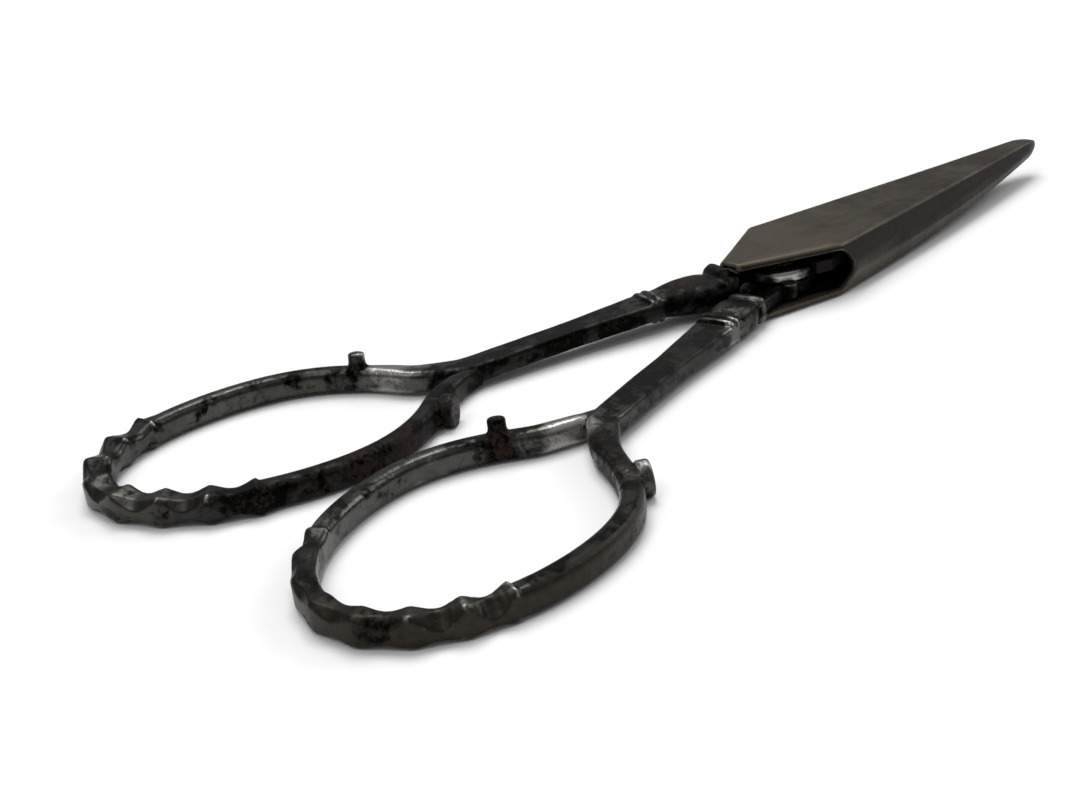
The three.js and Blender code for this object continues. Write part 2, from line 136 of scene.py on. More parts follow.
# The loop's tail leaves the bow and tucks in beside the shank, at (past the bow's front, outwards)
RAIL_STOP = 4.6
TAIL_AIM = (-0.9, -1.75)
TAIL_AIM_SHARE = 0.55
TAIL_BEND = (-0.9, -1.7)
TAIL_END = (-3.4, -1.05)

# Row of scoops on the bow's back; bevels are top outer, top inner, bottom inner and bottom outer
HOLLOW_COUNT = 7
CREST_RISE = 0.52
SCOOP_SINK = 0.3
ROW_DROP = 0.2
ROW_BEVELS = (0.35, 0.5, 0.3, 0.28)
CREST_TRIM = 0.1
SCOOP_HOLLOW = 0.6
CREST_FILL = 0.4
ROW_CURVES = (0.2, 0.2, 0.2)
STAND_FADE = 1.4

# Collar: neck, ring, groove, barrel, waist and double ridge, as (distance back, width, height, squareness)
COLLAR_ROWS = [
    (2.6, 3.0, 1.25, 6), (7.2, 3.0, 1.3, 6), (7.9, 3.1, 1.6, 5), (8.3, 3.5, 2.3, 4), (8.5, 3.85, 2.75, 4),
    (8.7, 3.9, 2.85, 4), (9.1, 3.9, 2.85, 4), (9.3, 3.7, 2.65, 4), (9.45, 3.35, 2.4, 4), (9.75, 3.35, 2.4, 4),
    (9.9, 3.6, 2.6, 3.6), (10.3, 4.0, 2.85, 3.4), (10.9, 4.25, 3.0, 3.2), (11.6, 4.25, 3.0, 3.2),
    (12.3, 4.0, 2.8, 3.2), (12.9, 3.6, 2.45, 3.4), (13.35, 3.5, 2.3, 4), (13.55, 3.6, 2.4, 4.2),
    (13.7, 4.1, 2.85, 4.4), (13.9, 4.25, 3.0, 4.4), (14.1, 4.1, 2.8, 4.4), (14.25, 3.75, 2.4, 4.4),
    (14.4, 3.75, 2.35, 4.6), (14.55, 4.05, 2.65, 5), (14.75, 4.15, 2.72, 5), (14.92, 4.0, 2.3, 6),
    (15.05, 3.85, 1.75, 7), (15.9, 3.75, 1.65, 7),
]
RIDGES_FROM = 13.4
RIDGES_TO = 15.0
RIDGE_WIDTH = 3.6
RIDGE_HEIGHT = 2.35
NECK_END = 6.6
NECK_FOLLOWS = 0.4
RING_END = 9.6
RING_SHARES = [(3, 0), (8, 1), (9.8, 1), (13, 0)]
FILL_SHARES = [(3, 0), (5.5, 1), (9, 0.9), (12.5, 0)]

# Peg as (radius, height), and knob as (radius, distance before its end)
PEG_RISE = math.radians(82)
PEG_PROFILE = [(0, 0), (1.0, 0.0), (1.0, 1.0), (0.86, 1.25), (0.78, 1.5), (0.78, 2.2), (0.68, 2.36),
               (0.4, 2.42), (0, 2.44)]
KNOB_RISE = math.radians(3)
KNOB_ROOT_RADIUS = 1.2
KNOB_PROFILE = [(1.15, 1.45), (1.12, 1.3), (1.3, 1.2), (1.46, 1.1), (1.5, 0.95), (1.5, 0.25), (1.42, 0.08),
                (1.2, 0.02), (0, 0)]

# The two halves were finished by hand and differ a little: 1 is the upper half and -1 the lower.
# pointing: how strongly the bow's outer and inner rails are drawn to its point
# scallops: where the row of scoops starts and ends, as shares round the bow from its point
# peg_at, knob_at: places as shares round the bow from its point, by +Y
# knob_end: how far the knob reaches from the bow's middle line
# shift: the handle's middle line as (distance back, move outwards)
# fork: where the shank ends, past the bow's front, and where the outer rail begins, along the bow
# collar_level: height of the collar's middle
# ring_forward: how far the ring sits towards the pivot
# fill: how far rust thickens the neck inwards
# ridge: how far the double ridge stands out, as a share
# scoop: stand of the outer face, swell of the crests, depths of the lower and the upper scoops
# soft: how rounded the crests are
# fade: strength of the upper scoops along their row, as (place, strength)
# film, inner: how brown the outer faces are, and how pale the inner ones
# earths, stains, rubs: brown places, rusty places and pale rubbed places, as (x, y, radius, strength);
# stains at the pivot also paint shade on the joint plates, and rubs stronger than 1 paint glints
HALVES = {
    1: {
        "pointing": (1.0, 0.8), "scallops": (0.357, 0.685), "peg_at": 0.105, "knob_at": 0.921,
        "knob_end": 2.2, "shift": [(0, 0), (60, 0)], "fork": (-2.4, 3.0), "collar_level": 2.2,
        "ring_forward": 2.6, "fill": 1.3, "ridge": 0.45, "scoop": (0.45, 0.08, 0.48, 0.34), "soft": 0.35,
        "fade": [(0, 1), (7, 1)], "film": 0.25, "inner": 0.75, "earths": [(-66, 6, 3.5, 0.4)],
        # the stain at (2, 1) paints shade on the joint plate in the sheath's mouth, besides rust
        "stains_and_shade": [(-40, 3, 3.5, 1), (-45.5, 0.5, 4, 1.1), (-51, -1, 4.5, 1.4), (-55.5, -0.5, 4, 0.6),
                   (-9.5, 3.5, 3, 0.9), (-60, 3, 2, 0.8), (-40.5, 13.5, 1.6, 0.9), (-46, 17, 1.2, 0.8),
                   (-18.5, 5, 2.5, 0.6), (-24, 6.5, 3, 0.5), (-33, 8, 2, 0.6), (-43.5, 23.3, 1.5, 0.9),
                   (-41, 18.9, 1.4, 0.8), (-47.1, 22.9, 1, 0.7), (-53.7, 2.1, 4, 0.6), (2, 1, 4, 0.8)],
        # rubs stronger than 1 also paint glints: on the rail by the fork, the bow's back, the collar ridge
        # and the joint plate's rim
        "rubs_and_glints": [(-65.9, 11.1, 4.5, 0.8), (-66.2, 16.6, 2.5, 0.4), (-37, 14.7, 3.5, 2.8),
                 (-51.4, 22.7, 6, 1.3), (-1.9, -2.5, 1.8, 3.2), (-13.6, 5.2, 2, 1.5), (-35.6, 12.6, 2, 2.4)],
    },
    -1: {
        "pointing": (1.6, 1.0), "scallops": (0.352, 0.662), "peg_at": 0.094, "knob_at": 0.881,
        "knob_end": 1.9, "shift": [(4, -0.4), (10, -0.65), (20, -0.55), (28, -0.4), (34, -0.1), (38, 0)],
        "fork": (-1.0, 4.4), "collar_level": 1.65, "ring_forward": 0.3, "fill": 0.0, "ridge": 0.75,
        "scoop": (-0.1, 0.1, 0.3, 0.75), "soft": 0.5,
        "fade": [(0, 1.1), (1.2, 1), (2, 0.6), (3, 0.42), (4, 0.3), (6, 0.2), (6.6, 0.5), (7, 0.9)],
        "film": 0.9, "inner": 1.0, "earths": [(-64, -19, 6, 0.8)],
        # the stain at the pivot paints shade on the joint plate in the sheath's mouth, besides rust
        "stains_and_shade": [(-40.5, -16, 4.5, 1), (-41.5, -5, 2.2, 1), (-67, -14, 3, 0.5), (-65, -19, 2, 0.35),
                   (-52.5, -23.5, 2, 0.6), (-23.5, -5.5, 3, 0.7), (-29, -8.5, 2.5, 0.7),
                   (-38, -11.5, 2.5, 0.9), (-45, -23, 3, 0.6), (-12, -5, 2, 0.5), (0, 0, 5, 0.9),
                   (-18, -5.5, 3, 0.6), (-33, -9.3, 2.5, 0.6)],
        # rubs stronger than 1 also paint glints: on the crests, the rail by the fork, the knob and the collar
        # ridges
        "rubs_and_glints": [(-59.7, -4.6, 1.6, 1.8), (-60.6, -22.8, 1.1, 1.5), (-57.2, -23.6, 1.2, 1.8),
                 (-63.1, -20.2, 1, 1.2), (-36.9, -9, 3.5, 3), (-48, -3.9, 5, 1.5), (-39.4, -18.6, 1.7, 2.6),
                 (-44.8, -21.5, 2.5, 0.5), (-13.5, -6, 2.5, 1.7), (-8.5, -4.5, 1.5, 1.3)],
    },
}

# Where a half's faces count as looking into the bow or away from it
FACING_FROM = 0.35
INNER_FADE = 0.3
OUTER_FADE = 0.4
FACING_REACH = 19
FACING_REACH_FADE = 2

# Sheath
SHEATH_WALL = 0.6
SHEATH_TIP = 46.9
SHEATH_TIP_HEIGHT = 1.6
SHEATH_TIP_WALL = 0.5
SHEATH_CLEARANCE = 0.5
SHEATH_TIP_CLEARANCE = 0.2
SHEATH_LOW_SWELL = 0.5
SHEATH_BOTTOM_CURVE = 1.8
SIDE_BULGE = 0.4
SIDE_BAND_SHARE = 0.2
FOLD_ROUND = 0.8
FOLD_WIDTH_LIMIT = 0.5
FOLD_HEIGHT_LIMIT = 0.4
FOLD_TURN = (0.3, 0.12)
FOLD_SIDE = 0.4
NOSE_LENGTH = 3.2
NOSE_END_SHARE = 0.3
NOSE_RINGS = 14
MOUTH_REACH = 7.0
MOUTH_WIDTH = 2.2
LOWER_LIP_WIDTH = 7.2
MOUTH_LIP = 0.1
WINDOW_DEPTH = 4.3
WINDOW_STEPS = 30
SHEATH_STATIONS = (-MOUTH_REACH, -3, 0, BLADE_HEEL_AT - 1, BLADE_HEEL_AT, 8, 14, 20, 26, 32, 37, 41)
WEAR_AT = -3
WEAR_SPREAD = 10
INSIDE_MARGINS = (0.3, 0.35)
# painted shade on the upper parts of the side facets
SHADE_LEAN_FROM = 0.55
SHADE_LEAN_FADE = 0.3
SHADE_DEPTH = 1.2
SHADE_AT_MIDDLE = 0.75

# Cutting solids reach well past what they cut
CUT_BEYOND = 1
CUT_SPAN = 9
CUT_HEIGHT = 6

# Mesh fineness and smoothing
HALF_VOXEL = 0.13
HALF_SMOOTHING = 2
SHEATH_VOXEL = 0.16
SHEATH_SMOOTHING = 3
SMOOTH_IN = 0.6
SMOOTH_OUT = 0.62
SPREAD_SHARE = 0.7
TINY = 1e-6
PATH_STEP = 0.15
SHANK_STEP = 0.3
LOOP_SOFTNESS = 0.75
BOW_POINTS = 4001
BOW_SKIP = 4
FORK_SEARCH = 300
TANGENT_STEP = 0.1
PLATE_TURNS = 64
STUB_TURNS = 28
LUG_TURNS = 24
DOME_STEPS = 10

# Floor and sky
FLOOR_REACH = 40.0
FLOOR_COLOR = (0.93, 0.93, 0.93, 1)
FLOOR_ROUGHNESS = 0.9
SKY_FROM = 0.25
SKY_TO = 0.95
SKY_LOW = 0.24
SKY_HIGH = 0.5

# Camera, fitted to the photograph
FOCAL_PIXELS = 1549.0
PHOTO_WIDTH = 1080
SENSOR_WIDTH = 36
CLIP_START = 0.005
DISTANCE = 130.9
ELEVATION = math.radians(23.62)
AZIMUTH = math.radians(49.75)
ROLL = math.radians(-6.94)
AIM = np.array([-35.12, -2.87, 2.0])


# Meshes
def loft(rings):
    """Closed skin over rings of equal point counts."""
    rings = np.asarray(rings, float)
    count, size = rings.shape[:2]
    here = np.arange(count - 1)[:, None] * size
    after = here + size
    j = np.arange(size)[None, :]
    k = (j + 1) % size
    faces = np.stack([here + j, here + k, after + k, after + j], -1).reshape(-1, 4).tolist()
    faces.append(list(range(size))[::-1])
    faces.append([(count - 1) * size + n for n in range(size)])
    return rings.reshape(-1, 3), faces


def lathe(profile, turns):
    """Profile of (radius, height) from axis to axis, turned about Z."""
    angles = np.linspace(0, 2 * math.pi, turns, endpoint=False)
    rings = [[(r * math.cos(a), r * math.sin(a), h) for a in angles] for r, h in profile]
    return loft(rings)


def disc(radius, low, high, turns=48):
    return lathe([(0, low), (radius, low), (radius, high), (0, high)], turns)


def moved(part, matrix):
    points, faces = part
    turned = np.c_[points, np.ones(len(points))] @ np.array(matrix).T
    return turned[:, :3], faces


def make_mesh(name, parts):
    """One mesh from closed parts, all facing outwards."""
    points, faces, start = [], [], 0
    for p, f in parts:
        points.append(p)
        faces += [[n + start for n in face] for face in f]
        start += len(p)
    mesh = bpy.data.meshes.new(name)
    mesh.from_pydata(np.concatenate(points).tolist(), [], faces)
    bm = bmesh.new()
    bm.from_mesh(mesh)
    bmesh.ops.remove_doubles(bm, verts=bm.verts, dist=TINY)
    bmesh.ops.recalc_face_normals(bm, faces=bm.faces)
    bm.to_mesh(mesh)
    bm.free()
    return mesh


def add_object(name, data):
    piece = bpy.data.objects.new(name, data)
    bpy.context.scene.collection.objects.link(piece)
    return piece


def applied(name, mesh, set_up):
    """The mesh after the modifiers that set_up adds."""
    piece = add_object(name, mesh)
    set_up(piece)
    graph = bpy.context.evaluated_depsgraph_get()
    result = bpy.data.meshes.new_from_object(piece.evaluated_get(graph))
    bpy.data.objects.remove(piece)
    return result


def cut(name, mesh, cutters):
    """The mesh with closed parts taken out of it."""
    tools = [add_object(f"{name}_cut{n}", make_mesh("cut", [c])) for n, c in enumerate(cutters)]

    def set_up(piece):
        for tool in tools:
            mod = piece.modifiers.new("cut", "BOOLEAN")
            mod.operation = "DIFFERENCE"
            mod.solver = "EXACT"
            mod.object = tool

    result = applied(name, mesh, set_up)
    for tool in tools:
        bpy.data.objects.remove(tool)
    return result


def remeshed(name, mesh, voxel):
    """One even skin over all of the mesh's parts."""
    def set_up(piece):
        mod = piece.modifiers.new("skin", "REMESH")
        mod.mode = "VOXEL"
        mod.voxel_size = voxel

    return applied(name, mesh, set_up)


def read_points(mesh):
    points = np.empty(len(mesh.vertices) * 3)
    mesh.vertices.foreach_get("co", points)
    return points.reshape(-1, 3)


def read_normals(mesh):
    normals = np.empty(len(mesh.vertices) * 3)
    mesh.vertices.foreach_get("normal", normals)
    return normals.reshape(-1, 3)


def read_edges(mesh):
    edges = np.empty(len(mesh.edges) * 2, np.int64)
    mesh.edges.foreach_get("vertices", edges)
    return edges.reshape(-1, 2)


def store(mesh, name, values):
    layer = mesh.attributes.new(name, "FLOAT", "POINT")
    layer.data.foreach_set("value", values.astype(np.float32))


def neighbour_mean(values, edges, share):
    count = len(values)
    total = np.empty_like(values)
    for axis in range(values.shape[1]):
        column = values[:, axis]
        total[:, axis] = np.bincount(edges[:, 0], column[edges[:, 1]], count)
        total[:, axis] += np.bincount(edges[:, 1], column[edges[:, 0]], count)
    return total * share


def finish_surface(mesh, smooth_rounds, fine_rounds=8, broad_rounds=60):
    """Smooths a remeshed skin and stores how far it stands out of, or sinks below, its surroundings."""
    points, edges = read_points(mesh), read_edges(mesh)
    share = 1 / np.maximum(1, np.bincount(edges.ravel(), minlength=len(points)))[:, None]
    for _ in range(smooth_rounds):
        points += SMOOTH_IN * (neighbour_mean(points, edges, share) - points)
        points -= SMOOTH_OUT * (neighbour_mean(points, edges, share) - points)
    mesh.vertices.foreach_set("co", points.ravel())
    mesh.update()
    normals = read_normals(mesh)
    soft = points.copy()
    for done in range(1, broad_rounds + 1):
        soft += SPREAD_SHARE * (neighbour_mean(soft, edges, share) - soft)
        if done == fine_rounds:
            store(mesh, "fine", ((points - soft) * normals).sum(1))
    store(mesh, "broad", ((points - soft) * normals).sum(1))


def to_frame(mesh):
    """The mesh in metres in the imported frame, with nothing below the floor."""
    points = np.maximum(read_points(mesh), [-math.inf, -math.inf, 0]) * MM + PIVOT
    mesh.vertices.foreach_set("co", points.ravel())
    mesh.update()
    mesh.shade_smooth()
    return mesh


# Bow and handle curves
def along(path):
    """Distance run at each point of a path."""
    return np.r_[0, np.cumsum(np.linalg.norm(np.diff(path, axis=0), axis=1))]


def ramp(x, points):
    """Value at x between given (place, value) points."""
    return np.interp(x, [p[0] for p in points], [p[1] for p in points])


def smoothed(path, sigma):
    """A path resampled evenly and smoothed along its length."""
    run = along(path)
    even = np.linspace(0, run[-1], int(run[-1] / PATH_STEP) + 1)
    path = np.stack([np.interp(even, run, path[:, n]) for n in range(path.shape[1])], 1)
    reach = int(3 * sigma / PATH_STEP)
    kernel = np.exp(-0.5 * (np.arange(-reach, reach + 1) * PATH_STEP / sigma) ** 2)
    kernel /= kernel.sum()
    padded = np.pad(path, ((reach, reach), (0, 0)), mode="reflect", reflect_type="odd")
    return np.stack([np.convolve(padded[:, n], kernel, "valid") for n in range(path.shape[1])], 1)


def bow_line(side):
    """Closed middle line of the bow, in (u, w): u back along the handle, w outwards, from its point."""
    outer, inner = HALVES[side]["pointing"]
    turn = np.linspace(0, 2 * math.pi, BOW_POINTS)
    across = np.sin(turn)
    power = 1 + np.where(across > 0, outer, inner) * np.maximum(0, np.cos(turn))
    w = np.sign(across) * np.abs(across) ** power * BOW_WIDTH / 2 - BOW_INSET
    return np.stack([BOW_REACH - np.cos(turn) * BOW_LENGTH / 2, w], 1)


def handle_matrix(side):
    turn = Matrix.Rotation(-side * HANDLE_ANGLE, 4, "Z")
    return turn @ Matrix.Translation((0, side * HANDLE_OFFSET, 0))


def handle_shift(side, u):
    return ramp(u, HALVES[side]["shift"])


def bar_section(out, inward, top, bottom, bevels, curves=(0.12, 0.12, 0.12, 0.12)):
    """Four-sided bar as (across, up) with corners top outer, top inner, bottom inner, bottom outer.

    A corner's curve is 0 for round, 0.5 for a flat bevel, and more for a hollow one.
    """
    tips = [(out, top, 0, -1, -1, 0), (-inward, top, 1, 0, 0, -1),
            (-inward, -bottom, 0, 1, 1, 0), (out, -bottom, -1, 0, 0, 1)]
    points = []
    for (x, y, ax, ay, bx, by), size, curve in zip(tips, bevels, curves):
        for t in (0, 0.3, 0.7, 1):
            a = (1 - t) ** 2 + 2 * t * (1 - t) * curve
            b = t ** 2 + 2 * t * (1 - t) * curve
            points.append((x + size * (a * ax + b * bx), y + size * (a * ay + b * by)))
    return points


def scallop_section(crest, half_width, half_height, scoop, fade):
    """Section of the row of scoops, crest 1 on a crest and 0 in a scoop, bitten from above and below."""
    stand, swell, low, high = scoop
    out = half_width + stand + swell * crest
    top = half_height + fade * (CREST_RISE * crest - SCOOP_SINK)
    bottom = half_height + ROW_DROP - low * (1 - crest)
    top_outer, top_inner, bottom_inner, bottom_outer = ROW_BEVELS
    scooped = top_outer + fade * high * (1 - crest)
    bevels = (scooped, top_inner - CREST_TRIM * crest, bottom_inner, bottom_outer)
    return bar_section(out, half_width, top, bottom, bevels, (SCOOP_HOLLOW - CREST_FILL * crest, *ROW_CURVES))


def round_section(width, height, power, count=32):
    """Rounded section: power 2 is an ellipse, and more is squarer."""
    turn = np.linspace(0, 2 * math.pi, count, endpoint=False)
    c, s = np.cos(turn), np.sin(turn)
    across = np.sign(c) * np.abs(c) ** (2 / power) * width / 2
    return list(zip(across, np.sign(s) * np.abs(s) ** (2 / power) * height / 2))


def sweep(path, sections, levels, side):
    """Bar along a (u, w) path: sections are (across, up) with across towards the path's left hand."""
    ahead = np.gradient(path, axis=0)
    ahead /= np.linalg.norm(ahead, axis=1)[:, None]
    left = np.stack([-ahead[:, 1], ahead[:, 0]], 1)
    rings = []
    for (u, w), (lu, lw), section, level in zip(path, left, sections, levels):
        rings.append([(-(u + lu * a), side * (w + lw * a), level + up) for a, up in section])
    return loft(rings)


# Parts of a handle
def loop_path(side):
    """Middle line along the shank, round the bow and back beside the shank."""
    line = bow_line(side)
    run = along(line)
    shank_end, rail_start = HALVES[side]["fork"]
    shank_u = np.arange(SHANK_START - SHANK_OVERLAP, BOW_FRONT + shank_end, SHANK_STEP)
    shank = np.stack([shank_u, handle_shift(side, shank_u)], 1)
    rail = line[(run > rail_start) & (run < run[-1] - RAIL_STOP)]
    last = rail[-1]
    aim, bend, end = (np.array([BOW_FRONT + u, w]) for u, w in (TAIL_AIM, TAIL_BEND, TAIL_END))
    end[1] += handle_shift(side, end[0])
    tail = [last + (aim - last) * TAIL_AIM_SHARE, bend, end]
    return smoothed(np.concatenate([shank, rail, tail]), LOOP_SOFTNESS)


def bow_shares(side, path, past):
    """Share round the bow at each point of the loop, 0 before the bow, and the bow's whole length."""
    line = bow_line(side)
    run = along(line)
    nearest = np.linalg.norm(path[:, None] - line[None, ::BOW_SKIP], axis=2).argmin(1)
    return np.where(past > BOW_FROM, run[::BOW_SKIP][nearest] / run[-1], 0), run[-1]


def loop_bar(side):
    """Shank, outer rail, scalloped back and inner rail as one bent bar, its end tucked beside the shank."""
    half = HALVES[side]
    path = loop_path(side)
    steps = along(path)
    fork = np.argmin(np.abs(path[:FORK_SEARCH, 0] - BOW_FRONT))
    past = steps - steps[fork]
    ending = past[-1] - past
    half_width = ramp(past, LOOP_HALF_WIDTHS) * ramp(ending, END_WIDTHS)
    half_height = ramp(past, LOOP_HALF_HEIGHTS) * ramp(ending, END_HEIGHTS)
    bevel = ramp(past, LOOP_BEVELS) * ramp(ending, END_BEVELS)
    falling = [(LOOP_START, half["collar_level"]), (0, BOW_LEVEL + FORK_RISE), (LOOP_LEVEL_AT, BOW_LEVEL)]
    level = ramp(past, falling) - ramp(ending, END_SINK)
    place, whole = bow_shares(side, path, past)
    first, final = half["scallops"]
    turn = (place - first) / (final - first) * HOLLOW_COUNT
    pointed = 1 - np.abs(np.sin(math.pi * turn))
    crest = (1 - half["soft"]) * pointed + half["soft"] * np.cos(math.pi * turn) ** 2
    fade = ramp(turn, half["fade"])
    beyond = np.maximum(first - place, place - final) * whole
    sections = []
    for wide, tall, edge, away, rise, strength in zip(half_width, half_height, bevel, beyond, crest, fade):
        if away <= 0:
            sections.append(scallop_section(rise, wide, tall, half["scoop"], strength))
        else:
            out = wide + half["scoop"][0] * max(0, 1 - away / STAND_FADE)
            lower_edge = edge * LOWER_BEVEL_SHARE
            sections.append(bar_section(out, wide, tall, tall, (edge, edge, lower_edge, lower_edge)))
    return sweep(path, sections, level, side)


def bow_point(side, at):
    """Point and outward direction on the bow's middle line; at is the share round from its point by +Y."""
    line = bow_line(side)
    run = along(line)
    share = at if side > 0 else 1 - at
    s = share * run[-1]
    near = np.array([np.interp(s, run, line[:, n]) for n in (0, 1)])
    ahead = np.array([np.interp(s + TANGENT_STEP, run, line[:, n]) for n in (0, 1)]) - near
    ahead /= np.linalg.norm(ahead)
    out = np.array([ahead[1], -ahead[0]])
    if out @ (near - [BOW_REACH, 0]) < 0:
        out = -out
    return (-near[0], side * near[1]), (-out[0], side * out[1])


def stub(side, at, rise, profile):
    """Turned stub that stands on the bow's middle line, tilted up by rise."""
    (x, y), (dx, dy) = bow_point(side, at)
    direction = Vector((dx * math.cos(rise), dy * math.cos(rise), math.sin(rise)))
    turn = Vector((0, 0, 1)).rotation_difference(direction).to_matrix().to_4x4()
    return moved(lathe(profile, STUB_TURNS), Matrix.Translation((x, y, BOW_LEVEL)) @ turn)


def peg(side):
    return stub(side, HALVES[side]["peg_at"], PEG_RISE, PEG_PROFILE)


def knob(side):
    end = HALVES[side]["knob_end"]
    profile = [(0, 0), (KNOB_ROOT_RADIUS, 0)] + [(radius, end - before) for radius, before in KNOB_PROFILE]
    return stub(side, HALVES[side]["knob_at"], KNOB_RISE, profile)


def collar_bar(side):
    """Neck, ring, groove, barrel, waist and double ridge, as one turned bar along the handle line."""
    half = HALVES[side]
    plate = MEETING_LEVEL + side * (JOINT_GAP + PLATE_THICKNESS) / 2
    forward = half["ring_forward"]
    levels = [(NECK_END - forward * NECK_FOLLOWS, plate), (RING_END - forward, half["collar_level"]),
              (SHANK_START, half["collar_level"]), (BOW_FRONT, BOW_LEVEL + FORK_RISE)]
    rings = []
    for u, width, height, power in COLLAR_ROWS:
        place = u - forward * ramp(u, RING_SHARES)
        level = ramp(place, levels)
        middle = side * handle_shift(side, place)
        fill = half["fill"] * ramp(place, FILL_SHARES)
        ridge = half["ridge"] if RIDGES_FROM < u < RIDGES_TO else 1.0
        width = RIDGE_WIDTH + (width - RIDGE_WIDTH) * ridge
        height = RIDGE_HEIGHT + (height - RIDGE_HEIGHT) * ridge
        ring = []
        for across, up in round_section(width, height, power):
            thickening = side * fill * max(0, -side * across) * 2 / width
            ring.append((-place, middle + across - thickening, level + up))
        rings.append(ring)
    return loft(rings)


def plate_low(side):
    """Level of a joint plate's lower face."""
    if side > 0:
        return MEETING_LEVEL + JOINT_GAP / 2
    return MEETING_LEVEL - JOINT_GAP / 2 - PLATE_THICKNESS


def joint_plate(side):
    low = plate_low(side)
    high = low + PLATE_THICKNESS
    edge = PLATE_EDGE[side]
    rim = [(JOINT_RADIUS - inwards * edge, high - down * edge) for inwards, down in PLATE_ROUND]
    return lathe([(0, low), (JOINT_RADIUS, low), *rim, (0, high)], PLATE_TURNS)


def lug():
    """Small upright lump on the edge of the lower joint plate."""
    low = plate_low(-1)
    reach = JOINT_RADIUS + LUG_RADIUS / 2
    at = (reach * math.cos(LUG_BEARING), reach * math.sin(LUG_BEARING), 0)
    return moved(disc(LUG_RADIUS, low, low + PLATE_THICKNESS + LUG_RISE, LUG_TURNS), Matrix.Translation(at))


def spots(points, places):
    """Strength of the strongest of some round places at each point."""
    strength = np.zeros(len(points))
    for x, y, radius, most in places:
        away = np.hypot(points[:, 0] - x, points[:, 1] - y) / radius
        strength = np.maximum(strength, most * np.exp(-away ** 2))
    return strength


def facing_bow(mesh, side):
    """How far each point's surface looks towards the bow's opening, from -1 to 1, and 0 far from the bow."""
    centre = np.array(handle_matrix(side) @ Vector((-BOW_REACH, 0, 0)))
    towards = centre - read_points(mesh)
    towards[:, 2] = 0
    far = np.linalg.norm(towards, axis=1)
    facing = (read_normals(mesh) * towards).sum(1) / np.maximum(far, TINY)
    return facing * np.clip((FACING_REACH - far) / FACING_REACH_FADE, 0, 1)


def half_mesh(side, name):
    """Handle, collar and joint plate of one half, with its rusty places and painted joint shade, its rubbed
    places and painted glints, and its brown places stored.
    """
    half = HALVES[side]
    matrix = handle_matrix(side)
    parts = [moved(part, matrix) for part in (collar_bar(side), loop_bar(side), peg(side), knob(side))]
    parts.append(joint_plate(side))
    if side < 0:
        parts.append(lug())
    skin = remeshed(name, make_mesh(name, parts), HALF_VOXEL)
    finish_surface(skin, HALF_SMOOTHING)
    points = read_points(skin)
    facing = facing_bow(skin, side)
    inner = np.clip((facing - FACING_FROM) / INNER_FADE, 0, 1) * half["inner"]
    outer = np.clip((-facing - FACING_FROM) / OUTER_FADE, 0, 1) * half["film"]
    # stains: rust, and painted shade on the joint plates in the sheath's mouth
    store(skin, "stain_and_shade", spots(points, half["stains_and_shade"]))
    # rubbed places are paler; where a rub passes 1 it paints a glint
    store(skin, "rub_and_glint", np.maximum(inner, spots(points, half["rubs_and_glints"])))
    store(skin, "film", np.maximum(outer, spots(points, half["earths"])))
    return to_frame(skin)


# Blades
def blade_half_width(x):
    return ramp(x, [(BLADE_HEEL_AT, BLADE_HEEL_WIDTH / 2), (BLADE_REACH, BLADE_POINT_WIDTH / 2)])


def blade_ring(side, x, half, setback, thickness):
    """Section of a blade: thick back, ground face and thin cutting edge, flat where the blades meet."""
    meeting = ramp(x, [(0, MEETING_LEVEL), (BLADE_REACH, SHEATH_MIDDLE + SHEATH_TIP_RISE)])
    inner = meeting + side * JOINT_GAP / 2
    edge = min(CUTTING_EDGE_THICKNESS, thickness)
    grind = max(0.0, half - setback - GRIND_WIDTH)
    points = [
        (-half, 0), (-half, thickness - BACK_CHAMFER), (-half + BACK_CHAMFER, thickness),
        (-half * BLADE_BACK_SHARE, thickness), (grind, edge + (thickness - edge) * GRIND_HEIGHT),
        (half - setback, edge), (half - setback, 0),
    ]
    return [(x, side * y, inner + side * up) for y, up in points]


def blade_mesh(side, name):
    thickest = PLATE_THICKNESS - BLADE_SINK
    rings = [blade_ring(side, BLADE_ROOT_AT, JOINT_RADIUS + BLADE_ROOT_STAND, EDGE_SETBACK, thickest)]
    for x in np.linspace(BLADE_HEEL_AT, BLADE_REACH, BLADE_STATIONS):
        share = (x - BLADE_HEEL_AT) / (BLADE_REACH - BLADE_HEEL_AT)
        half = float(blade_half_width(x))
        setback = min(half, EDGE_SETBACK * (1 - share) + half * share)
        thickness = thickest + (BLADE_POINT_THICKNESS - PLATE_THICKNESS) * share
        rings.append(blade_ring(side, x, half, setback, thickness))
    mesh = make_mesh(name, [loft(rings)])
    mesh = cut(name, mesh, [disc(SCREW_HEAD_RADIUS + SCREW_CLEARANCE, 0, CUT_HEIGHT)])
    # darker towards the heel: rust, and painted shade inside the sheath
    store(mesh, "stain_and_shade", np.clip((BLADE_STAIN_AND_SHADE_END - read_points(mesh)[:, 0]) / BLADE_STAIN_AND_SHADE_FADE, 0, 1))
    mesh = to_frame(mesh)
    mesh.shade_flat()
    return mesh


# Sheath
def towards_tip(x):
    return ramp(x, [(BLADE_HEEL_AT, 0), (SHEATH_TIP, 1)])


def sheath_half_width(x, mouth=MOUTH_WIDTH):
    heel = BLADE_HEEL_WIDTH / 2 + SHEATH_CLEARANCE + SHEATH_WALL
    tip = BLADE_POINT_WIDTH / 2 + SHEATH_TIP_CLEARANCE + SHEATH_TIP_WALL
    slope = (tip - heel) / (BLADE_REACH - BLADE_HEEL_AT)
    lips = ramp(x, [(-MOUTH_REACH, mouth / 2), (BLADE_HEEL_AT, heel)])
    return np.where(x < BLADE_HEEL_AT, lips, heel + slope * (x - BLADE_HEEL_AT))


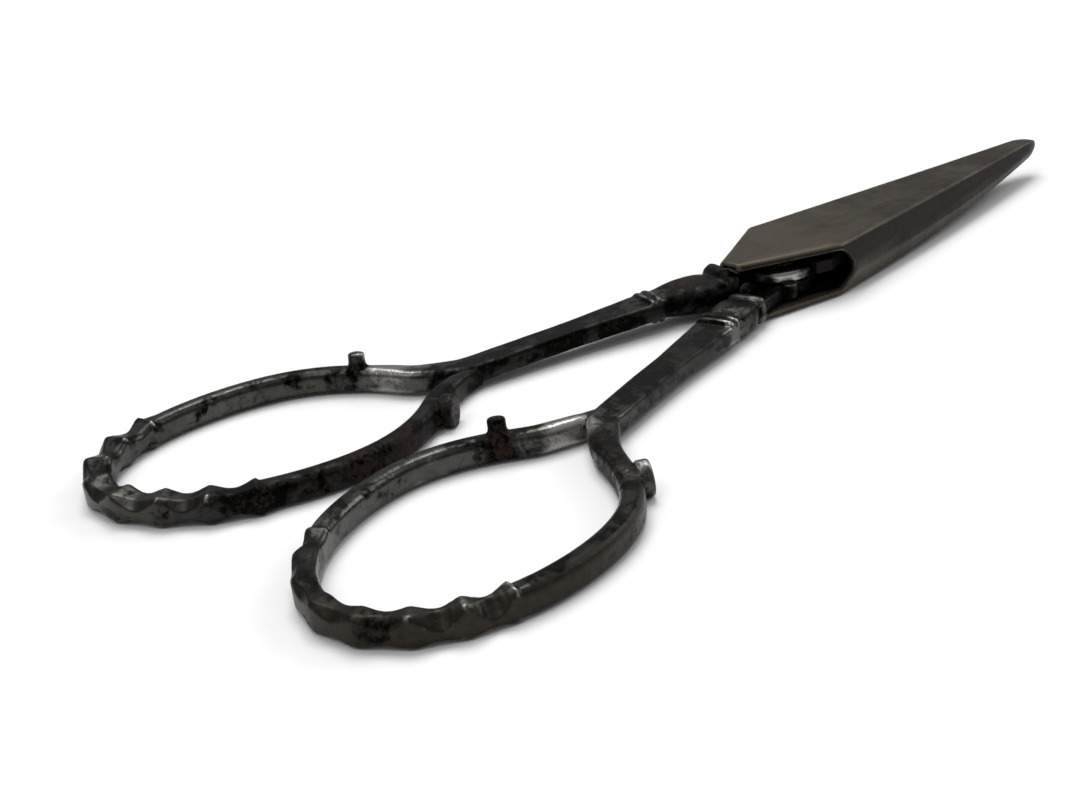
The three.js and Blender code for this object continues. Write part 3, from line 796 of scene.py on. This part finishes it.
def sheath_low_width(x):
    return sheath_half_width(x, LOWER_LIP_WIDTH) + SHEATH_LOW_SWELL * np.sin(math.pi * towards_tip(x))


def sheath_top(x):
    top = SHEATH_MIDDLE + SHEATH_TIP_RISE + SHEATH_TIP_HEIGHT / 2
    return 2 * SHEATH_MIDDLE + (top - 2 * SHEATH_MIDDLE) * towards_tip(x)


def sheath_bottom(x):
    tip = SHEATH_MIDDLE + SHEATH_TIP_RISE - SHEATH_TIP_HEIGHT / 2
    return tip * towards_tip(x) ** SHEATH_BOTTOM_CURVE


def sheath_ring(x, wall, shrink=1.0):
    """Flat top and bottom, and sides that bulge to a narrow band half way down, with rounded folds."""
    inset = wall * float(ramp(x, [(BLADE_HEEL_AT, 1), (SHEATH_TIP, SHEATH_TIP_WALL / SHEATH_WALL)]))
    high, low = float(sheath_top(x)), float(sheath_bottom(x))
    tall = (high - low) / 2 * shrink - inset
    middle = (high + low) / 2
    bulge = SIDE_BULGE * (high - low) / SHEATH_MIDDLE * shrink
    band = tall * SIDE_BAND_SHARE
    quarters = []
    for width in (sheath_half_width(x), sheath_low_width(x)):
        flat = float(width) * shrink - inset
        fold = min(FOLD_ROUND, flat * FOLD_WIDTH_LIMIT, tall * FOLD_HEIGHT_LIMIT)
        share = fold / (tall - band)
        quarters.append([(flat - fold, tall), (flat - fold * FOLD_TURN[0], tall - fold * FOLD_TURN[1]),
                         (flat + bulge * share * FOLD_SIDE, tall - fold * FOLD_SIDE),
                         (flat + bulge * share, tall - fold), (flat + bulge, band)])
    half = quarters[0] + [(y, -up) for y, up in quarters[1][::-1]]
    section = half + [(-y, up) for y, up in half[::-1]]
    return [(x, y, middle + up) for y, up in section]


def mouth_window():
    """Cut through both side walls, round at its inner end, that leaves a tongue above and below."""
    lip = SHEATH_WALL + MOUTH_LIP
    radius = SHEATH_MIDDLE - lip
    middle = WINDOW_DEPTH - radius
    outside = -MOUTH_REACH - CUT_BEYOND
    outline = [(outside, lip)]
    for a in np.linspace(-math.pi / 2, math.pi / 2, WINDOW_STEPS):
        outline.append((middle + radius * math.cos(a), SHEATH_MIDDLE + radius * math.sin(a)))
    outline.append((outside, 2 * SHEATH_MIDDLE - lip))
    return loft([[(x, y, z) for x, z in outline] for y in (-CUT_SPAN, CUT_SPAN)])


def sheath_skin():
    """Sheath with its hollow and its mouth cut out."""
    nose = []
    for share in np.linspace(0, 1, NOSE_RINGS):
        shrink = math.sqrt(1 - (1 - NOSE_END_SHARE ** 2) * share ** 2)
        nose.append(sheath_ring(SHEATH_TIP - NOSE_LENGTH * (1 - share), 0, shrink))
    skin = loft([sheath_ring(x, 0) for x in SHEATH_STATIONS] + nose)
    inner = [sheath_ring(x, SHEATH_WALL) for x in (*SHEATH_STATIONS, BLADE_REACH + SHEATH_TIP_CLEARANCE)]
    start = [(x - CUT_BEYOND, y, z) for x, y, z in inner[0]]
    return cut("sheath_skin", make_mesh("sheath_skin", [skin]), [loft([start] + inner), mouth_window()])


def sheath_mesh():
    """Sheath skin, with its inside for painted black shade, its worn mouth and its painted shade on the upper
    sides stored.
    """
    mesh = remeshed("sheath_skin", sheath_skin(), SHEATH_VOXEL)
    finish_surface(mesh, SHEATH_SMOOTHING)
    x, y, z = read_points(mesh).T
    middle = (sheath_top(x) + sheath_bottom(x)) / 2
    tall = (sheath_top(x) - sheath_bottom(x)) / 2
    # the inside faces get painted black shade
    side_margin, top_margin = INSIDE_MARGINS
    within = (np.abs(y) < sheath_half_width(x) - side_margin) & (np.abs(z - middle) < tall - top_margin)
    store(mesh, "inside", within.astype(float))
    store(mesh, "wear", np.exp(-((x - WEAR_AT) / WEAR_SPREAD) ** 2))
    # painted shade: upper parts of the side facets are darkened
    lean = np.abs(read_normals(mesh)[:, 1])
    sideways = np.clip((lean - SHADE_LEAN_FROM) / SHADE_LEAN_FADE, 0, 1)
    store(mesh, "shade", sideways * np.clip((z - middle) / SHADE_DEPTH + SHADE_AT_MIDDLE, 0, 1))
    return to_frame(mesh)


# Screw
def screw_profile(under, top):
    """Shank and domed head as (radius, level); under is the level of the head's lower face."""
    bottom = plate_low(-1)
    rim = under + SCREW_HEAD_RIM
    profile = [(0, bottom), (SCREW_RADIUS, bottom), (SCREW_RADIUS, under)]
    profile += [(SCREW_HEAD_RADIUS - SCREW_CHAMFER, under), (SCREW_HEAD_RADIUS, under + SCREW_CHAMFER)]
    profile.append((SCREW_HEAD_RADIUS, rim))
    for share in np.linspace(0, 1, DOME_STEPS)[1:-1]:
        turn = share * math.pi / 2
        profile.append((SCREW_HEAD_RADIUS * math.cos(turn), rim + (top - rim) * math.sin(turn)))
    return profile + [(0, top)]


def screw_mesh():
    """Screw with a domed, slotted head sunk in the upper joint plate."""
    under = plate_low(1) + PLATE_THICKNESS - SCREW_HEAD_SUNK
    top = under + SCREW_HEAD_HEIGHT
    mesh = make_mesh("screw", [lathe(screw_profile(under, top), PLATE_TURNS)])
    side = SLOT_WIDTH / 2
    outline = ((-SLOT_REACH, -side), (SLOT_REACH, -side), (SLOT_REACH, side), (-SLOT_REACH, side))
    slot = loft([[(x, y, z) for x, y in outline] for z in (top - SLOT_DEPTH, top + CUT_BEYOND)])
    slot = moved(slot, Matrix.Rotation(SLOT_TURN, 4, "Z"))
    mesh = to_frame(cut("screw", mesh, [slot]))
    mesh.set_sharp_from_angle(angle=SCREW_SHARP_ANGLE)
    return mesh


# Materials
def put(tree, kind, inputs=None, **settings):
    """A node with its inputs set or linked."""
    node = tree.nodes.new("ShaderNode" + kind)
    for key, value in settings.items():
        setattr(node, key, value)
    for key, value in (inputs or {}).items():
        if isinstance(value, bpy.types.NodeSocket):
            tree.links.new(value, node.inputs[key])
        else:
            node.inputs[key].default_value = value
    return node


def noise(tree, where, scale, detail, rough, warp=0.0):
    node = put(tree, "TexNoise", {"Vector": where, "Scale": scale, "Detail": detail, "Roughness": rough,
                                  "Distortion": warp})
    return node.outputs["Fac"]


def step(tree, value, low, high, start=0.0, end=1.0):
    """Smooth step from start to end as the value goes from low to high."""
    ends = {"Value": value, "From Min": low, "From Max": high, "To Min": start, "To Max": end}
    return put(tree, "MapRange", ends, interpolation_type="SMOOTHSTEP").outputs["Result"]


def calc(tree, operation, a, b):
    return put(tree, "Math", {0: a, 1: b}, operation=operation).outputs[0]


def weigh(tree, terms):
    """Sum of value times weight."""
    total = None
    for value, weight in terms:
        part = calc(tree, "MULTIPLY", value, weight)
        total = part if total is None else calc(tree, "ADD", total, part)
    return total


def blend_color(tree, share, a, b):
    a, b = (end if isinstance(end, bpy.types.NodeSocket) else (*end, 1) for end in (a, b))
    return put(tree, "Mix", {0: share, 6: a, 7: b}, data_type="RGBA").outputs[2]


def blend_value(tree, share, a, b):
    return put(tree, "Mix", {0: share, 2: a, 3: b}, data_type="FLOAT").outputs[0]


def attribute(tree, name):
    return put(tree, "Attribute", attribute_name=name).outputs["Fac"]


def new_tree(name):
    """A material with an empty tree, and a socket that gives the place on the piece."""
    mat = bpy.data.materials.new(name)
    mat.use_nodes = True
    tree = mat.node_tree
    tree.nodes.clear()
    place = put(tree, "TexCoord").outputs["Object"]
    return mat, tree, place


def millimetres(tree, place, stretch=(1, 1, 1), turn=0.0):
    scale = [PER_METRE * n for n in stretch]
    node = put(tree, "Mapping", {"Vector": place, "Rotation": (0, 0, turn), "Scale": scale})
    return node.outputs["Vector"]


def finish_material(tree, color, metallic, rough, height, depth):
    """Shader and output; height from 0 to 1 stands up to depth millimetres."""
    bump = put(tree, "Bump", {"Height": height, "Distance": depth * MM, "Strength": 1.0})
    shader = put(tree, "BsdfPrincipled", {"Base Color": color, "Metallic": metallic, "Roughness": rough,
                                          "Specular IOR Level": 0.2, "Normal": bump.outputs["Normal"]})
    out = put(tree, "OutputMaterial")
    tree.links.new(shader.outputs[0], out.inputs[0])


def make_steel():
    """Blackened worn steel: dark grey, paler inside the bows, black blotches, rubbed edges, brown rust,
    painted glints and painted shade on the joint plates.
    """
    mat, tree, place = new_tree("worn_steel")
    mm = millimetres(tree, place)
    cloud = noise(tree, mm, 0.3, 4, 0.55, 0.4)
    mottle = noise(tree, mm, 1.3, 6, 0.65, 0.3)
    blotch = noise(tree, mm, 0.45, 8, 0.66, 0.3)
    grain = noise(tree, mm, 7.0, 3, 0.65)
    pit = noise(tree, mm, 2.6, 5, 0.7, 0.2)
    fine, broad, stain_and_shade, rub_and_glint, film = (attribute(tree, n) for n in ("fine", "broad", "stain_and_shade", "rub_and_glint", "film"))
    # black oxide and rust, with painted shade on the joint plates from the stain places
    black = step(tree, weigh(tree, [(blotch, 1.0), (cloud, 0.4), (stain_and_shade, 0.16), (fine, -1.0), (broad, -0.15),
                                    (rub_and_glint, -0.03), (film, -0.16)]), 0.63, 0.77)
    # painted glints: where a rub passes 1 the colour goes towards the bright edge colour, on top of rubbed
    # edges
    painted_glint = calc(tree, "MAXIMUM", calc(tree, "SUBTRACT", rub_and_glint, 1.0), 0.0)
    bright = step(tree, weigh(tree, [(fine, 1.0), (mottle, 0.08), (blotch, 0.06), (stain_and_shade, -0.05),
                                     (painted_glint, 0.06)]), 0.105, 0.17)
    rust = step(tree, weigh(tree, [(pit, 0.5), (mottle, 0.3), (cloud, 0.2), (stain_and_shade, 0.2),
                                   (broad, -0.3)]), 0.60, 0.73)
    color = blend_color(tree, mottle, (0.0085, 0.0084, 0.008), (0.031, 0.0305, 0.0285))
    worn = blend_color(tree, mottle, (0.027, 0.027, 0.0243), (0.100, 0.099, 0.0895))
    # paler where rubbed, and on the painted glints
    color = blend_color(tree, rub_and_glint, color, worn)
    earth = blend_color(tree, mottle, (0.0165, 0.0135, 0.0107), (0.049, 0.041, 0.0335))
    color = blend_color(tree, film, color, earth)
    color = blend_color(tree, black, color, (0.003, 0.0028, 0.0025))
    color = blend_color(tree, bright, color, (0.34, 0.33, 0.31))
    brown = blend_color(tree, grain, (0.003, 0.0017, 0.0012), (0.040, 0.019, 0.0115))
    color = blend_color(tree, rust, color, brown)
    metallic = calc(tree, "SUBTRACT", 1.0, calc(tree, "MULTIPLY", rust, 0.85))
    rough = blend_value(tree, mottle, 0.27, 0.38)
    for mask, value in ((rub_and_glint, 0.2), (film, 0.42), (black, 0.42), (bright, 0.24), (rust, 0.7)):
        rough = blend_value(tree, mask, rough, value)
    rough = calc(tree, "ADD", rough, calc(tree, "MULTIPLY", grain, 0.08))
    height = weigh(tree, [(mottle, 0.35), (grain, 0.12), (rust, 0.3), (black, 0.15), (pit, 0.25)])
    finish_material(tree, color, metallic, rough, height, 0.08)
    return mat


def make_blade_steel():
    """Ground blade faces: grey steel with fine cross scratches and dark spots, and painted shade towards the
    heel.
    """
    mat, tree, place = new_tree("blade_steel")
    mm = millimetres(tree, place)
    lines = noise(tree, millimetres(tree, place, (6, 0.35, 2), 0.12), 1.0, 3, 0.6)
    dirt = noise(tree, mm, 1.1, 5, 0.7)
    # dark spots, with painted shade towards the heel
    mask = step(tree, weigh(tree, [(dirt, 1.0), (attribute(tree, "stain_and_shade"), 0.35)]), 0.55, 0.7)
    color = blend_color(tree, lines, (0.12, 0.118, 0.112), (0.26, 0.255, 0.24))
    color = blend_color(tree, mask, color, (0.008, 0.006, 0.005))
    rough = blend_value(tree, mask, 0.30, 0.6)
    finish_material(tree, color, blend_value(tree, mask, 1.0, 0.4), rough, lines, 0.01)
    return mat


def make_screw_steel():
    """Rubbed screw head with dull dirty patches."""
    mat, tree, place = new_tree("screw_steel")
    mm = millimetres(tree, place)
    wear = noise(tree, mm, 1.6, 5, 0.65)
    grain = noise(tree, mm, 7.0, 3, 0.6)
    mask = step(tree, wear, 0.5, 0.66)
    color = blend_color(tree, mask, (0.24, 0.23, 0.21), (0.05, 0.038, 0.03))
    rough = blend_value(tree, mask, 0.3, 0.55)
    finish_material(tree, color, 1.0, rough, weigh(tree, [(wear, 0.4), (grain, 0.2)]), 0.05)
    return mat


def make_patina():
    """Sheath sheet metal: satin brown-grey, brushed lengthwise, rubbed along its folds, with painted shade on
    its upper sides and painted black shade inside.
    """
    mat, tree, place = new_tree("sheath_patina")
    mm = millimetres(tree, place)
    cloud = noise(tree, mm, 0.16, 4, 0.6, 0.4)
    mottle = noise(tree, mm, 0.8, 6, 0.62, 0.2)
    grain = noise(tree, mm, 5.0, 3, 0.6)
    brush = noise(tree, millimetres(tree, place, (0.14, 3.2, 3.2)), 1.0, 4, 0.6)
    fine, inside, shade, wear = (attribute(tree, n) for n in ("fine", "inside", "shade", "wear"))
    pale = step(tree, weigh(tree, [(cloud, 0.6), (mottle, 0.35), (brush, 0.3), (wear, 0.2)]), 0.47, 0.88)
    # dark blotches, a few more where the side shade is painted
    dark = step(tree, weigh(tree, [(mottle, 0.6), (grain, 0.3), (fine, -1.5), (shade, 0.1)]), 0.5, 0.64)
    bright = step(tree, weigh(tree, [(fine, 1.0), (mottle, 0.06)]), 0.09, 0.16)
    color = blend_color(tree, pale, (0.0235, 0.0188, 0.0128), (0.0745, 0.0612, 0.0435))
    color = blend_color(tree, calc(tree, "MULTIPLY", dark, 0.5), color, (0.012, 0.0095, 0.007))
    # painted shade on the upper side facets
    color = blend_color(tree, calc(tree, "MULTIPLY", shade, 0.92), color, (0.013, 0.0105, 0.0085))
    color = blend_color(tree, bright, color, (0.10, 0.087, 0.068))
    # painted shade: the inside is made nearly black
    color = blend_color(tree, inside, color, (0.002, 0.0017, 0.0014))
    rough = blend_value(tree, pale, 0.5, 0.4)
    rough = blend_value(tree, bright, rough, 0.3)
    rough = blend_value(tree, inside, rough, 0.85)
    height = weigh(tree, [(mottle, 0.4), (brush, 0.25), (grain, 0.12)])
    finish_material(tree, color, 0.6, rough, height, 0.05)
    return mat


# Pieces
def dress(name, mesh, body, node, material):
    """Adds a piece in its material, on its body and in place of its node."""
    piece = add_object(name, mesh)
    mesh.materials.clear()
    mesh.materials.append(material)
    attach(piece, body)
    if node:
        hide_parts(node)


steel = make_steel()
blade_steel = make_blade_steel()
screw_steel = make_screw_steel()
patina = make_patina()

dress("lower_handle", half_mesh(-1, "lower_handle"), "lower", "lower_half", steel)
dress("upper_handle", half_mesh(1, "upper_handle"), "upper", "upper_half", steel)
dress("lower_blade", blade_mesh(-1, "lower_blade"), "lower", None, blade_steel)
dress("upper_blade", blade_mesh(1, "upper_blade"), "upper", None, blade_steel)
dress("screw", screw_mesh(), "lower", "pivot_screw", screw_steel)
dress("folded_sheath", sheath_mesh(), "cover", "sheath", patina)


# Floor, light and camera
def add_floor():
    low, high = -FLOOR_REACH, FLOOR_REACH
    mesh = bpy.data.meshes.new("floor")
    mesh.from_pydata([(low, low, 0), (high, low, 0), (high, high, 0), (low, high, 0)], [], [(0, 1, 2, 3)])
    floor = add_object("floor", mesh)
    white = bpy.data.materials.new("floor_white")
    white.use_nodes = True
    shader = white.node_tree.nodes["Principled BSDF"]
    shader.inputs["Base Color"].default_value = FLOOR_COLOR
    shader.inputs["Roughness"].default_value = FLOOR_ROUGHNESS
    mesh.materials.append(white)


def light_sky():
    """Grey sky that is brighter overhead."""
    world = bpy.data.worlds.new("studio")
    world.use_nodes = True
    sky = world.node_tree
    height = put(sky, "SeparateXYZ", {"Vector": put(sky, "TexCoord").outputs["Generated"]}).outputs["Z"]
    glow = step(sky, height, SKY_FROM, SKY_TO, SKY_LOW, SKY_HIGH)
    sky.links.new(glow, sky.nodes["Background"].inputs["Color"])
    bpy.context.scene.world = world


def add_camera():
    flat = math.cos(ELEVATION)
    back = np.array([-math.cos(AZIMUTH) * flat, -math.sin(AZIMUTH) * flat, math.sin(ELEVATION)])
    right = np.cross(-back, [0, 0, 1])
    right /= np.linalg.norm(right)
    up = np.cross(right, -back)
    c, s = math.cos(ROLL), math.sin(ROLL)
    right, up = (c * right + s * up, -s * right + c * up)
    place = (AIM + DISTANCE * back) * MM + PIVOT
    camera = bpy.data.cameras.new("camera")
    camera.sensor_width = SENSOR_WIDTH
    camera.lens = FOCAL_PIXELS / PHOTO_WIDTH * SENSOR_WIDTH
    camera.clip_start = CLIP_START
    view = add_object("camera", camera)
    view.matrix_world = Matrix((*zip(right, up, back, place), (0, 0, 0, 1)))
    bpy.context.scene.camera = view


def soft_lamp(name, source, spread, level):
    """Wide distant lamp from a direction; level is the share of a white floor's brightness it gives."""
    lamp = bpy.data.lights.new(name, "SUN")
    lamp.angle = math.radians(spread)
    away = Vector(source).normalized()
    lamp.energy = math.pi * level / away.z
    piece = add_object(name, lamp)
    piece.rotation_euler = (-away).to_track_quat("-Z", "Y").to_euler()


add_floor()
light_sky()
add_camera()
soft_lamp("overhead", (0.25, 0.3, 0.9), 38, 0.52)
soft_lamp("side", (0.85, -0.2, 0.5), 26, 0.10)
soft_lamp("front", (-0.52, -0.02, 0.85), 24, 0.12)
bpy.context.scene.view_settings.view_transform = "Standard"
